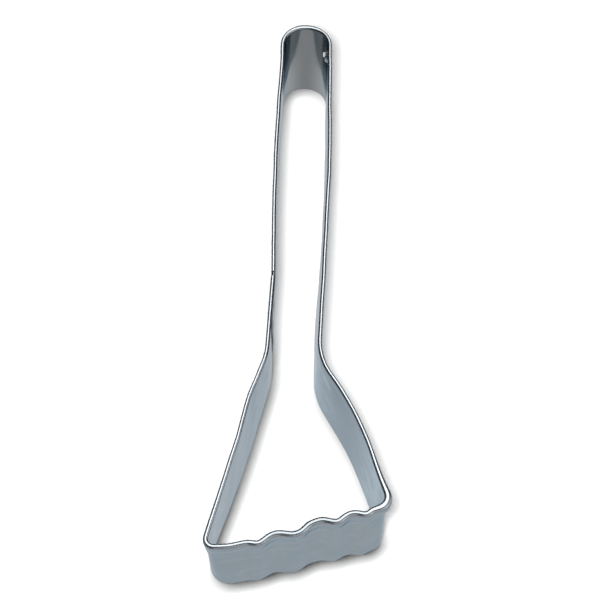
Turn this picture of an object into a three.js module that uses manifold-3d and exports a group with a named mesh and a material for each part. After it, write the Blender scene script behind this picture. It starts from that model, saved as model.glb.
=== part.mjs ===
// A broom-shaped cookie cutter. One tinplate strip, its top edge folded over into a hem, is bent round
// the outline, and its lapped ends are held by two spot welds. Millimetres, +Z up: the cutting edge
// stands on z = 0, the hemmed rim is on top, and the handle runs along +Y.
import * as THREE from 'three';
import { mergeVertices } from 'three/addons/utils/BufferGeometryUtils.js';
import Module from 'manifold-3d';

// Strip
const bandHeight = 22.2;
const sheetThickness = 0.25;
const hemHeight = 5.2; // how far the fold reaches down the outside
const hemGap = 0.3; // clear space inside the fold

// Outline, to the middle of the sheet at the rim: x from the handle's centre line, y from the neck line.
const handleLength = 83.2;
const handleEndWidth = 9.8;
const endSkew = 0.5; // the round end stands this much higher on its left
const handleBellyWidth = 11.2;
const bellyDistance = 45.5;
const bellyRadius = 400;
const neckWidth = 9.9;
const neckOffset = -0.4;
const leftNeckRadius = 16;
const rightNeckRadius = 13.5;
const leftShoulderReach = 8.4;
const leftShoulderDrop = 9.3;
const leftShoulderRadius = 26;
const leftKinkReach = 10.2;
const leftKinkDrop = 18.2;
const leftKinkRadius = 25;
const leftCornerReach = 15.4;
const leftCornerDrop = 40.3;
const leftCornerRadius = 1.2;
const rightShoulderReach = 12.5;
const rightShoulderDrop = 12.5;
const rightShoulderRadius = 65;
const rightCornerReach = 18.9;
const rightCornerDrop = 30.3;
const rightCornerRadius = 2.1;

// Bends of the wavy front, from the left corner: share of the front's length, depth outwards, bend radius.
const waveBends = [
  [0.12, 0.90, 3.0],
  [0.22, 1.00, 2.6],
  [0.275, 1.80, 0.6],
  [0.365, 0.24, 3.9],
  [0.485, 1.95, 2.7],
  [0.555, 0.24, 3.0],
  [0.63, -0.12, 3.0],
  [0.705, 1.20, 0.6],
  [0.79, -0.24, 3.5],
  [0.87, 1.17, 0.6],
  [0.89, 0.52, 1.5],
];

// The hand-bent walls lean a little: shift of the cutting edge from the rim, x and y.
const seamLean = [-0.25, 0];
const leftNeckLean = [0.3, 5];
const leftShoulderLean = [0.2, 0];
const leftKinkLean = [-0.2, 0];
const leftCornerLean = [-1.1, 0];
const leftCornerEdgeRadius = 3.5;
const rightCornerLean = [0.3, -0.7];
const rightShoulderLean = [0.2, -0.3];
const rightNeckLean = [-0.6, 2];
const bellyLean = [-0.1, 0];
const rightEndLean = [0.1, -0.2];
const leftEndLean = [-0.4, -0.4];
const edgeWaveShare = 0.7; // the waves flatten towards the cutting edge
const waveMidDepth = 0.75;

// Lap joint on the left wall of the handle
const seamReach = 4.8; // centre line to the wall at the seam
const seamDistance = 19;
const seamRadius = 0.4; // bends of the small step that takes the inner end behind the outer one
const hemSeamGap = 0.7; // between the two ends of the hem
const stepRoom = 0.15; // the step is complete this far before the outer end
const lapLength = 7;
const lapGap = 0.08; // clearance between the lapped sheets
const tabDrop = 0.9; // the inner end has no hem and stops this far below the rim
const weldDiameter = 2.6;
const weldClearance = 0.05;
const weldDish = 0.05; // depth of the electrode marks
const dishDiameter = 1.3; // flat floor of an electrode mark
const weldHeights = { spot_weld_lower: 6, spot_weld_upper: 15 };

// Fineness of the facets
const bendStep = THREE.MathUtils.degToRad(11);
const rollSteps = 6;
const weldSides = 24;
const mergeDistance = 1e-4;

const halfSheet = sheetThickness / 2;
const lapOffset = sheetThickness + lapGap;

// One bend of the outline, as it is at the rim and at the cutting edge.
function bend(x, y, radius, lean = [0, 0], edgeRadius = radius) {
  return {
    rim: { point: new THREE.Vector2(x, y), radius },
    edge: { point: new THREE.Vector2(x + lean[0], y + lean[1]), radius: edgeRadius },
  };
}

// The front runs straight from corner to corner of the rim, and its waves stand off that line. Its
// cutting edge leans out with the right corner.
function frontBends(leftCorner, rightCorner) {
  const start = leftCorner.rim.point;
  const along = rightCorner.rim.point.clone().sub(start);
  const outward = new THREE.Vector2(along.y, -along.x).normalize();
  return waveBends.map(([share, depth, radius]) => {
    const edgeDepth = THREE.MathUtils.lerp(waveMidDepth, depth, edgeWaveShare);
    const rimPoint = start.clone().addScaledVector(along, share).addScaledVector(outward, depth);
    const lean = new THREE.Vector2(...rightCornerLean).multiplyScalar(share);
    lean.addScaledVector(outward, edgeDepth - depth);
    return bend(rimPoint.x, rimPoint.y, radius, lean.toArray());
  });
}

// The two ends of the strip meet at the seam: the wall that comes down the handle steps inwards there,
// and its tab runs on behind the outer end.
function seamBends(start, leftNeck) {
  const stepStart = {};
  const stepEnd = {};
  const tabEnd = {};
  for (const level of ['rim', 'edge']) {
    const first = start[level].point;
    const down = leftNeck[level].point.clone().sub(first).normalize();
    const inward = new THREE.Vector2(-down.y, down.x);
    const spot = (below, inside) => (
      first.clone().addScaledVector(down, below).addScaledVector(inward, inside)
    );
    stepStart[level] = { point: spot(-hemSeamGap, 0), radius: seamRadius };
    stepEnd[level] = { point: spot(-stepRoom, lapOffset), radius: seamRadius };
    tabEnd[level] = { point: spot(lapLength, lapOffset), radius: 0 };
  }
  return [stepStart, stepEnd, tabEnd];
}

// Every bend in order, anticlockwise from the seam: down the left wall, along the front, up the right
// wall, round the end of the handle and back to the seam.
function outlineBends() {
  const start = bend(-seamReach, seamDistance - hemSeamGap, 0, seamLean);
  const leftNeck = bend(neckOffset - neckWidth / 2, 0, leftNeckRadius, leftNeckLean);
  const leftCorner = bend(
    -leftCornerReach,
    -leftCornerDrop,
    leftCornerRadius,
    leftCornerLean,
    leftCornerEdgeRadius,
  );
  const rightCorner = bend(rightCornerReach, -rightCornerDrop, rightCornerRadius, rightCornerLean);
  const endReach = handleEndWidth / 2;
  const endTilt = endSkew / 2;
  return [
    start,
    leftNeck,
    bend(-leftShoulderReach, -leftShoulderDrop, leftShoulderRadius, leftShoulderLean),
    bend(-leftKinkReach, -leftKinkDrop, leftKinkRadius, leftKinkLean),
    leftCorner,
    ...frontBends(leftCorner, rightCorner),
    rightCorner,
    bend(rightShoulderReach, -rightShoulderDrop, rightShoulderRadius, rightShoulderLean),
    bend(neckOffset + neckWidth / 2, 0, rightNeckRadius, rightNeckLean),
    bend(handleBellyWidth / 2, bellyDistance, bellyRadius, bellyLean),
    bend(endReach, handleLength - endTilt, endReach, rightEndLean),
    bend(-endReach, handleLength + endTilt, endReach, leftEndLean),
    bend(-handleBellyWidth / 2, bellyDistance, bellyRadius, bellyLean),
    ...seamBends(start, leftNeck),
  ];
}

// Each bend between its neighbours: the turn's angle, the wall into it, and how far from its corner its
// arc begins. Where two arcs need more than the straight wall between them, they share it.
function turnsOf(corners) {
  const walls = corners.slice(1).map(({ point }, index) => point.clone().sub(corners[index].point));
  const turns = corners.map(({ point, radius }, index) => {
    const [into, out] = [walls[index - 1], walls[index]];
    if (!into || !out) return { point, angle: 0, setback: 0 };
    const angle = Math.atan2(into.cross(out), into.dot(out));
    return { point, angle, setback: radius * Math.tan(Math.abs(angle) / 2) };
  });
  const roomOn = walls.map((wall, index) => {
    const wanted = turns[index].setback + turns[index + 1].setback;
    return wall.length() / wanted;
  });
  return turns.map((turn, index) => {
    const share = Math.min(1, roomOn[index - 1] ?? 1, roomOn[index] ?? 1);
    return { ...turn, setback: turn.setback * share, into: walls[index - 1]?.clone().normalize() };
  });
}

// Points along one level of the outline with their outward normals; each bend has its own number of steps.
function levelStations(corners, steps) {
  const normalOf = (direction) => new THREE.Vector2(direction.y, -direction.x);
  const first = corners[0].point;
  const last = corners[corners.length - 1].point;
  const firstWall = corners[1].point.clone().sub(first).normalize();
  const lastWall = last.clone().sub(corners[corners.length - 2].point).normalize();
  const stations = [{ point: first, normal: normalOf(firstWall) }];
  turnsOf(corners).slice(1, -1).forEach(({ point, angle, setback, into }, index) => {
    const arcSteps = steps[index + 1];
    const radius = setback / Math.tan(Math.abs(angle) / 2);
    const arcStart = point.clone().addScaledVector(into, -setback);
    const side = Math.sign(angle);
    const centre = arcStart.clone().addScaledVector(normalOf(into), -side * radius);
    for (let step = 0; step <= arcSteps; step += 1) {
      const direction = into.clone().rotateAround(new THREE.Vector2(), (angle * step) / arcSteps);
      const normal = normalOf(direction);
      stations.push({ point: centre.clone().addScaledVector(normal, side * radius), normal });
    }
  });
  stations.push({ point: last, normal: normalOf(lastWall) });
  return stations;
}

// Stations of the whole strip. The hem ends where the first bend of the seam's step begins.
function stripStations() {
  const bends = outlineBends();
  const rimCorners = bends.map(({ rim }) => rim);
  const edgeCorners = bends.map(({ edge }) => edge);
  const steps = turnsOf(rimCorners).map(({ angle }) => Math.max(2, Math.ceil(Math.abs(angle) / bendStep)));
  const edge = levelStations(edgeCorners, steps);
  const stations = levelStations(rimCorners, steps).map((rim, index) => ({ rim, edge: edge[index] }));
  const seamStations = steps.slice(-3, -1).reduce((sum, arcSteps) => sum + arcSteps + 1, 1);
  const hemEnd = stations.length - seamStations;
  return { stations, hemEnd };
}

// Place of a point of the strip's section: how far outwards from the middle of the sheet, and how high.
function sectionPoint({ rim, edge }, [outwards, height]) {
  const share = height / bandHeight;
  const point = edge.point.clone().lerp(rim.point, share);
  const normal = edge.normal.clone().lerp(rim.normal, share).normalize();
  point.addScaledVector(normal, outwards);
  return [point.x, point.y, height];
}

// Section of the hemmed strip: up the inside, over the fold, down the hem and back up, down the outside.
function hemmedSection() {
  const rollRadius = sheetThickness + hemGap / 2;
  const rollCentre = halfSheet + hemGap / 2;
  const rollHeight = bandHeight - rollRadius;
  const roll = (radius) => Array.from({ length: rollSteps + 1 }, (_, step) => {
    const angle = Math.PI * (1 - step / rollSteps);
    return [rollCentre + radius * Math.cos(angle), rollHeight + radius * Math.sin(angle)];
  });
  const hemFoot = bandHeight - hemHeight;
  return [
    ...plainSection().slice(0, 2),
    ...roll(rollRadius),
    [halfSheet + hemGap + sheetThickness, hemFoot],
    [halfSheet + hemGap, hemFoot],
    ...roll(hemGap / 2).reverse(),
    ...plainSection().slice(2),
  ];
}

// Section of the tab: the bare sheet, lower than the rim.
function plainSection() {
  const top = bandHeight - tabDrop;
  return [[-halfSheet, 0], [-halfSheet, top], [halfSheet, top], [halfSheet, 0]];
}

// Triangles of a flat section at one station.
function fillSection(station, section) {
  const contour = section.map(([outwards, height]) => new THREE.Vector2(outwards, height));
  const corners = section.map((spot) => sectionPoint(station, spot));
  return THREE.ShapeUtils.triangulateShape(contour, []).map((face) => face.map((corner) => corners[corner]));
}

// Side walls of a section carried along the stations.
function carrySection(stations, section) {
  const rings = stations.map((station) => section.map((spot) => sectionPoint(station, spot)));
  const triangles = [];
  for (let ring = 0; ring < rings.length - 1; ring += 1) {
    section.forEach((_, spot) => {
      const next = (spot + 1) % section.length;
      const [a, b] = [rings[ring][spot], rings[ring][next]];
      const [c, d] = [rings[ring + 1][next], rings[ring + 1][spot]];
      triangles.push([a, b, c], [a, c, d]);
    });
  }
  return triangles;
}

const reversed = (triangles) => triangles.map(([a, b, c]) => [a, c, b]);

function geometryOf(triangles) {
  const geometry = new THREE.BufferGeometry();
  geometry.setAttribute('position', new THREE.Float32BufferAttribute(triangles.flat(2), 3));
  return mergeVertices(geometry, mergeDistance);
}

// The strip before it is welded: hemmed from the first end to the seam, then the plain tab.
function stripGeometry() {
  const { stations, hemEnd } = stripStations();
  const hemmed = hemmedSection();
  const plain = plainSection();
  const seamStation = stations[hemEnd];
  const lastStation = stations[stations.length - 1];
  return geometryOf([
    ...fillSection(stations[0], hemmed),
    ...carrySection(stations.slice(0, hemEnd + 1), hemmed),
    ...reversed(fillSection(seamStation, hemmed.slice(1, -1))),
    ...carrySection(stations.slice(hemEnd), plain),
    ...reversed(fillSection(lastStation, plain)),
  ]);
}

// Place of a weld: its axis goes square through both sheets in the middle of the lap.
function weldMatrix(height) {
  const { stations } = stripStations();
  const outer = stations[0];
  const middleOfLap = { rim: {}, edge: {} };
  for (const level of ['rim', 'edge']) {
    const { point, normal } = outer[level];
    const down = new THREE.Vector2(-normal.y, normal.x);
    middleOfLap[level] = { point: point.clone().addScaledVector(down, lapLength / 2), normal };
  }
  const centre = sectionPoint(middleOfLap, [-lapOffset / 2, height]);
  const { normal } = outer.rim;
  const axis = new THREE.Vector3(normal.x, normal.y, 0);
  const turn = new THREE.Quaternion().setFromUnitVectors(new THREE.Vector3(0, 1, 0), axis);
  return new THREE.Matrix4().compose(new THREE.Vector3(...centre), turn, new THREE.Vector3(1, 1, 1));
}

// A weld's round body, through both sheets, with a shallow electrode mark on each face.
function weldGeometry() {
  const radius = weldDiameter / 2 - weldClearance;
  const dishRadius = dishDiameter / 2;
  const halfLength = (lapOffset + sheetThickness) / 2;
  const profile = [
    [0, weldDish - halfLength],
    [dishRadius, weldDish - halfLength],
    [radius, -halfLength],
    [radius, halfLength],
    [dishRadius, halfLength - weldDish],
    [0, halfLength - weldDish],
  ];
  return new THREE.LatheGeometry(profile.map(([x, y]) => new THREE.Vector2(x, y)), weldSides);
}

const wasm = await Module();
wasm.setup();

function solidOf(geometry) {
  const bare = geometry.clone();
  bare.deleteAttribute('normal');
  bare.deleteAttribute('uv');
  const merged = mergeVertices(bare, mergeDistance);
  const vertProperties = new Float32Array(merged.attributes.position.array);
  const triVerts = new Uint32Array(merged.index.array);
  return new wasm.Manifold(new wasm.Mesh({ numProp: 3, vertProperties, triVerts }));
}

function geometryOfSolid(solid) {
  const { vertProperties, triVerts } = solid.getMesh();
  const geometry = new THREE.BufferGeometry();
  geometry.setAttribute('position', new THREE.BufferAttribute(vertProperties, 3));
  geometry.setIndex(new THREE.BufferAttribute(triVerts, 1));
  geometry.computeVertexNormals();
  return geometry;
}

// The strip with a round hole through both laps for each weld.
function bandGeometry() {
  let band = solidOf(stripGeometry());
  const holeLength = 2 * (lapOffset + sheetThickness);
  for (const height of Object.values(weldHeights)) {
    const hole = new THREE.CylinderGeometry(weldDiameter / 2, weldDiameter / 2, holeLength, weldSides);
    band = band.subtract(solidOf(hole.applyMatrix4(weldMatrix(height))));
  }
  return geometryOfSolid(band);
}

const tinplate = new THREE.MeshStandardMaterial({ color: 0x9aa3aa, roughness: 0.35, metalness: 1 });
const weldMetal = new THREE.MeshStandardMaterial({ color: 0x7f878d, roughness: 0.5, metalness: 1 });

const cutter = new THREE.Group();
const band = new THREE.Mesh(bandGeometry(), tinplate);
band.name = 'cutter_band';
cutter.add(band);
for (const [name, height] of Object.entries(weldHeights)) {
  const weld = new THREE.Mesh(weldGeometry(), weldMetal.clone());
  weld.name = name;
  weld.applyMatrix4(weldMatrix(height));
  cutter.add(weld);
}

// The origin is under the middle of the band's box.
const box = new THREE.Box3().setFromBufferAttribute(band.geometry.attributes.position);
const middle = box.getCenter(new THREE.Vector3());
cutter.position.set(-middle.x, -middle.y, 0);

export default cutter;
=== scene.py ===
import bpy
import numpy as np
from mathutils import Matrix, Vector


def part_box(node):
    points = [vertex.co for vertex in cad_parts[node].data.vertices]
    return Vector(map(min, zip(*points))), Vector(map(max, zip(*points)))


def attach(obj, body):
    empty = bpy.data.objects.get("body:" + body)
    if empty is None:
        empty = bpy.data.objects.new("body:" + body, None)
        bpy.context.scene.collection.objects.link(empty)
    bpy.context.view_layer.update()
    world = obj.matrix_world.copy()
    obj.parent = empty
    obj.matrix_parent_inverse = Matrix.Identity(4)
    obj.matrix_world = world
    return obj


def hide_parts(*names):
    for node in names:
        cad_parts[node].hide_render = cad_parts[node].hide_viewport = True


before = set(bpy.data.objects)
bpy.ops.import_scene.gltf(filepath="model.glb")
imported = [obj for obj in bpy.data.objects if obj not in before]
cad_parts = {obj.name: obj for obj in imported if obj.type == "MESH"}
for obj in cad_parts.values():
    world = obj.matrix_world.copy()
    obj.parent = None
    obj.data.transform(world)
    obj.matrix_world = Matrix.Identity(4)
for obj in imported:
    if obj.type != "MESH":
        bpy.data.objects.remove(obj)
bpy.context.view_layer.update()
mm = 0.001
tiny = 1e-9  # keeps lengths off zero
print("frame loaded:", sorted(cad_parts))


# shared mesh tools

def newPiece(name, points, faces, uv=None, layers=None, sharpAngle=0.7):
    mesh = bpy.data.meshes.new(name)
    mesh.from_pydata((points * mm).tolist(), [], [list(face) for face in faces])
    mesh.shade_smooth()
    mesh.set_sharp_from_angle(angle=sharpAngle)
    if uv is not None:
        corners = np.zeros(len(mesh.loops), np.int32)
        mesh.loops.foreach_get("vertex_index", corners)
        mesh.uv_layers.new(name="sheet").data.foreach_set("uv", (uv[corners] * mm).ravel())
    for layerName, values in (layers or {}).items():
        layer = mesh.attributes.new(layerName, "FLOAT", "POINT")
        layer.data.foreach_set("value", values.astype(np.float32))
    piece = bpy.data.objects.new(name, mesh)
    bpy.context.scene.collection.objects.link(piece)
    return piece


# smooth step: 3t^2 - 2t^3 with t held between 0 and 1
def smooth(t):
    t = np.clip(t, 0.0, 1.0)
    return t * t * (3.0 - 2.0 * t)


# bell: e to the minus half the square of the distance in widths
def bell(distance, width):
    return np.exp(-0.5 * (distance / width) ** 2)


def unit(vectors):
    return vectors / np.linalg.norm(vectors, axis=-1, keepdims=True)


# the outward side of a path that runs anticlockwise
def outwardOf(direction):
    return np.stack([direction[..., 1], -direction[..., 0]], -1)


# the tinplate band: one strip, hemmed along its top, bent round the broom's outline; sizes in mm

band = {
    "height": 22.2,
    "sheet": 0.25,
    "edgeEase": 0.05,  # the cut edges are eased by this
    "hemHeight": 5.2,
    "hemGap": 0.36,
    "hemPress": 0.24,  # the hem leans back to the wall by this at its foot
    "origin": (-1.65714, -21.50813),  # the outline's zero in the part's frame
    # bends: x, y, radius, shift of the cutting edge x and y
    "start": (-4.8, 18.3, 0.0, -0.25, 0.0),
    "leftSide": [
        (-5.35, 0.0, 16.0, 0.3, 5.0),
        (-8.4, -9.3, 26.0, 0.2, 0.0),
        (-10.2, -18.2, 25.0, -0.2, 0.0),
        (-13.68, -33.0, 6.0, -1.32, 0.0),
    ],
    "leftCorner": (-15.4, -40.3, 1.2, -0.4, 0.0),
    "leftCornerEdgeRadius": 3.6,
    "rightCorner": (18.9, -30.3, 2.1, 0.3, -0.7),
    "rightSide": [
        (12.5, -12.5, 65.0, 0.2, -0.3),
        (4.55, 0.0, 13.5, -0.25, 1.3),
        (4.965, 18.0, 200.0, -0.845, 0.0),
        (5.6, 45.5, 400.0, -0.3, 0.0),
        (4.9, 82.95, 4.9, 0.1, -0.2),
        (-4.9, 83.45, 4.9, -0.4, -0.4),
        (-5.6, 45.5, 400.0, -0.1, 0.0),
    ],
    # front waves: share of the front, depth outwards, bend radius
    "waves": [
        (0.12, 0.90, 3.0), (0.22, 1.00, 2.6), (0.275, 1.80, 0.6), (0.365, 0.24, 3.9),
        (0.485, 1.95, 2.7), (0.555, 0.24, 3.0), (0.63, -0.12, 3.0), (0.705, 1.20, 0.6),
        (0.79, -0.24, 3.5), (0.87, 1.17, 0.6), (0.89, 0.52, 1.5),
    ],
    "edgeWaveShare": 0.7,  # the waves keep this share at the cutting edge
    "waveMidDepth": 0.75,
    "softening": 0.35,  # the sheet never bends quite sharply
    # the lap: the hemmed end stands out by the joggle, and the tab steps in behind it
    "hemSeamGap": 1.0,
    "hemTrim": 0.1,  # the hem ends this far before the step
    "lapLength": 7.0,
    "lapGap": 0.08,
    "lapLean": 0.05,  # how far the lapped walls lean out at the cutting edge
    "joggle": 0.28,
    "joggleFade": 4.0,
    "stepLength": 0.55,
    "stepRadius": 0.4,
    "tabDrop": 1.6,
    "tabLift": (0.12, 2.2, 1.7),  # the tab's free end stands off: depth, length, half height
    # stations: steps along the strip, the pull of a bend, widths of easing
    "walkStep": 0.1,
    "coarseStep": 0.9,
    "fineStep": 0.24,
    "lapStep": 0.25,
    "bendPull": 6.0,
    "pathEase": 4.0,
    "bendEase": 6.0,
    "stepEase": 3.0,
    "arcSteps": 24,
    # closer stations: x, y, reach along the strip, step
    "fineSpots": [
        (4.45, 80.1, 2.0, 0.2),
        (6.2, -2.5, 4.0, 0.3),
        (18.6, -30.6, 6.0, 0.25),
    ],
    # rows over the profile, and closer ones: from and to height, step
    "wallRows": 17,
    "upperRows": 5,
    "rollRows": 17,
    "hemRows": 10,
    "edgeRow": 0.3,
    "rowClearance": 0.3,
    "fineRows": [(4.25, 7.75, 0.25), (13.25, 15.0, 0.25), (15.15, 18.6, 0.15)],
    "faceSpacing": 40.0,  # between the two faces on the flat pattern
}


def placeNear(path, x, y):
    return int(np.argmin(np.hypot(path[:, 0] - x, path[:, 1] - y)))


# rounded path: an arc touches both walls of each corner, starting radius * tan(turn / 2) before it;
# arcs that want more than the wall between them share it
def roundedPath(corners, radii, steps):
    walls = np.diff(corners, axis=0)
    lengths = np.linalg.norm(walls, axis=1)
    along = unit(walls)
    into, out = along[:-1], along[1:]
    turn = np.arctan2(into[:, 0] * out[:, 1] - into[:, 1] * out[:, 0], (into * out).sum(1))
    halfTan = np.tan(np.abs(turn) / 2)
    wanted = np.pad(radii[1:-1] * halfTan, 1)
    room = lengths / np.maximum(wanted[:-1] + wanted[1:], tiny)
    setback = wanted[1:-1] * np.minimum(1.0, np.minimum(room[:-1], room[1:]))
    reach = (np.sign(turn) * setback / halfTan)[:, None]
    centre = corners[1:-1] - into * setback[:, None] - outwardOf(into) * reach
    angle = turn[:, None] * np.linspace(0.0, 1.0, steps)
    cosine, sine = np.cos(angle), np.sin(angle)
    direction = np.stack([
        into[:, :1] * cosine - into[:, 1:] * sine,
        into[:, :1] * sine + into[:, 1:] * cosine,
    ], -1)
    arcs = centre[:, None] + outwardOf(direction) * reach[:, None]
    return np.concatenate([corners[:1], arcs.reshape(-1, 2), corners[-1:]])


# front waves: each bend stands its depth off the straight line between the two front corners
def frontBends(left, right):
    share, depth, radius = np.array(band["waves"]).T
    start, run = np.array(left[:2]), np.array(right[:2]) - np.array(left[:2])
    outward = unit(outwardOf(run))
    edgeDepth = band["waveMidDepth"] + (depth - band["waveMidDepth"]) * band["edgeWaveShare"]
    rim = start + share[:, None] * run + depth[:, None] * outward
    lean = share[:, None] * np.array(right[3:5]) + (edgeDepth - depth)[:, None] * outward
    return np.column_stack([rim, radius, lean])


# average along the strip, weighted by a bell; each end runs on turned about its last point
def eased(values, width, reachWidths=4):
    reach = int(np.ceil(reachWidths * width))
    kernel = bell(np.arange(-reach, reach + 1), width)
    before = 2 * values[:1] - values[reach:0:-1]
    after = 2 * values[-1:] - values[-2:-reach - 2:-1]
    padded = np.concatenate([before, values, after])
    columns = [np.convolve(column, kernel / kernel.sum(), "valid") for column in padded.T]
    return np.stack(columns, -1)


# the strip's two paths, the rim's and the cutting edge's, from the seam round to the tab's free end
def stripLevels():
    left, right = band["leftCorner"], band["rightCorner"]
    bends = np.vstack([
        band["start"], *band["leftSide"], left, frontBends(left, right), right, *band["rightSide"],
    ])
    levels = []
    for lean in (0.0, 1.0):
        corners = bends[:, :2] + lean * bends[:, 3:5]
        radii = bends[:, 2].copy()
        if lean:
            radii[len(band["leftSide"]) + 1] = band["leftCornerEdgeRadius"]
        down = unit(corners[1] - corners[0])
        stepStart = corners[0] - band["hemSeamGap"] * down
        tabEnd = corners[0] + band["lapLength"] * down
        corners = np.vstack([corners, stepStart, tabEnd])
        radii = np.append(radii, [band["stepRadius"], 0.0])
        levels.append(roundedPath(corners, radii, band["arcSteps"]))
    return levels


# distance walked along the strip, the mean of both paths
def walkedAlong(rim, edge):
    strides = [np.linalg.norm(np.diff(level, axis=0), axis=1) for level in (rim, edge)]
    return np.concatenate([[0.0], np.cumsum(np.mean(strides, axis=0) + tiny)])


def resampled(level, walked, places):
    return np.stack([np.interp(places, walked, column) for column in level.T], -1)


# spacing: fine where the strip bends and where its ends lap, coarse on straight walls
def stationPlaces(rim, walked):
    stride, coarse, total = band["walkStep"], band["coarseStep"], walked[-1]
    places = np.arange(0.0, total, stride)
    even = eased(resampled(rim, walked, places), band["pathEase"])
    heading = np.unwrap(np.arctan2(*np.gradient(even, axis=0).T[::-1]))
    curving = np.abs(np.gradient(heading, stride))
    curving = eased(curving[:, None], band["bendEase"])[:, 0]
    spacing = np.clip(coarse / (1 + band["bendPull"] * curving), band["fineStep"], coarse)
    lap = band["lapLength"] + 2 * band["hemSeamGap"]
    spacing = np.where((places < lap) | (places > total - lap), band["lapStep"], spacing)
    for x, y, reach, step in band["fineSpots"]:
        near = np.abs(places - places[placeNear(even, x, y)]) < reach
        spacing = np.where(near, np.minimum(spacing, step), spacing)
    count = np.cumsum(stride / eased(spacing[:, None], band["stepEase"])[:, 0])
    return np.append(np.interp(np.arange(0.0, count[-1]), count, places), total)


# the stations' places along the strip, and the softened paths there
def stripPaths():
    levels = stripLevels()
    walked = walkedAlong(*levels)
    places = stationPlaces(levels[0], walked)
    even = np.arange(0.0, walked[-1], band["walkStep"])
    soft = band["softening"] / band["walkStep"]
    softened = [eased(resampled(level, walked, even), soft) for level in levels]
    return places, *[resampled(level, even, places) for level in softened]


# rows up the wall: even ones, closer ones in their place, a few above the tab
def wallRows(tabTop, rollHeight):
    foot = [0.0, band["edgeEase"], band["edgeRow"]]
    coarse = np.linspace(0.0, tabTop, band["wallRows"])
    fine = np.concatenate([np.arange(low, high + step / 2, step) for low, high, step in band["fineRows"]])
    coarse = coarse[np.min(np.abs(coarse[:, None] - fine), axis=1) > band["rowClearance"]]
    wall = np.unique(np.concatenate([foot, coarse, fine, [tabTop]]))
    return np.append(wall, np.linspace(tabTop, rollHeight, band["upperRows"])[1:-1])


# sheet profile: up the wall, half a turn over the fold, down the hem; each row has its middle point, the
# direction to the sheet's inner face, half the thickness, the length along the sheet and its masks
def sheetProfile():
    height, half, ease = band["height"], band["sheet"] / 2, band["edgeEase"]
    rollRadius = (band["sheet"] + band["hemGap"]) / 2
    rollHeight = height - half - rollRadius
    tabTop = height - band["tabDrop"]
    hemFoot = height - band["hemHeight"]
    wall = wallRows(tabTop, rollHeight)
    angle = np.linspace(np.pi, 0.0, band["rollRows"])
    hem = np.linspace(rollHeight, hemFoot + band["edgeRow"], band["hemRows"])[1:]
    hem = np.append(hem, [hemFoot + ease, hemFoot])
    down = (rollHeight - hem) / (rollHeight - hemFoot)
    outwards = np.concatenate([
        0 * wall, rollRadius * (1 + np.cos(angle)), 2 * rollRadius - band["hemPress"] * smooth(down),
    ])
    heights = np.concatenate([wall, rollHeight + rollRadius * np.sin(angle), hem])
    facing = np.concatenate([
        np.tile([-1.0, 0.0], (len(wall), 1)),
        np.stack([np.cos(angle), np.sin(angle)], -1),
        np.tile([1.0, 0.0], (len(hem), 1)),
    ])
    thick = np.full(len(heights), half)
    thick[[0, -1]] = half - ease
    strides = np.hypot(np.diff(outwards), np.diff(heights))
    return {
        "outwards": outwards,
        "heights": heights,
        "facing": facing,
        "thick": thick,
        "length": np.concatenate([[0.0], np.cumsum(strides)]),
        "tabRow": int(np.flatnonzero(np.isclose(wall, tabTop))[0]),
        **profileMasks(wall, angle, hem, down, rollHeight, hemFoot),
    }


# where the profile's masks start and over how much they change
masks = {
    "wallFade": 1.0,  # mm under the fold
    "hemFade": 0.6,  # share of the hem
    "bulgeAtRoll": 0.7,  # how much of the hem's slack the fold already has
    "bulgeRise": 0.15,
    "bulgeFall": (0.25, 0.45),
    "footRise": (0.35, 0.6),
    "inFoldFade": 1.5,
    "foldFade": 0.5,
    "crownRise": (0.6, 0.3),  # of the sine of the fold's angle
}


# masks over the rows of the wall, the fold and the hem: smooth steps along the sheet, and over the fold
# shares that follow its angle's cosine or sine
def profileMasks(wall, angle, hem, down, rollHeight, hemFoot):
    full, inFade, foldFade = np.ones(len(angle)), masks["inFoldFade"], masks["foldFade"]
    fallStart, fallLength = masks["bulgeFall"]
    footStart, footLength = masks["footRise"]
    crownStart, crownLength = masks["crownRise"]
    atRoll = masks["bulgeAtRoll"]
    swollen = atRoll + (1 - atRoll) * smooth(down / masks["bulgeRise"])
    fallen = 1 - smooth((down - fallStart) / fallLength)
    onWall = smooth((rollHeight - wall) / masks["wallFade"])
    intoFold = smooth((wall - rollHeight + foldFade) / foldFade)
    outOfFold = smooth(1 - (rollHeight - hem) / foldFade)
    rows = {
        "wallShare": (onWall, 0 * angle, smooth(down / masks["hemFade"])),
        "innerShare": (1 + 0 * wall, (1 - np.cos(angle)) / 2, 0 * hem),
        "hemTop": (0 * wall, atRoll / 2 * (1 + np.cos(angle)), swollen * fallen),
        "hemFoot": (0 * wall, 0 * angle, smooth((down - footStart) / footLength)),
        "inFold": (smooth((wall - hemFoot) / inFade), full, smooth((hem - hemFoot) / inFade)),
        "fold": (intoFold, full, outOfFold),
        "crown": (0 * wall, smooth((np.sin(angle) - crownStart) / crownLength), 0 * hem),
    }
    return {name: np.concatenate(values) for name, values in rows.items()}


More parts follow.
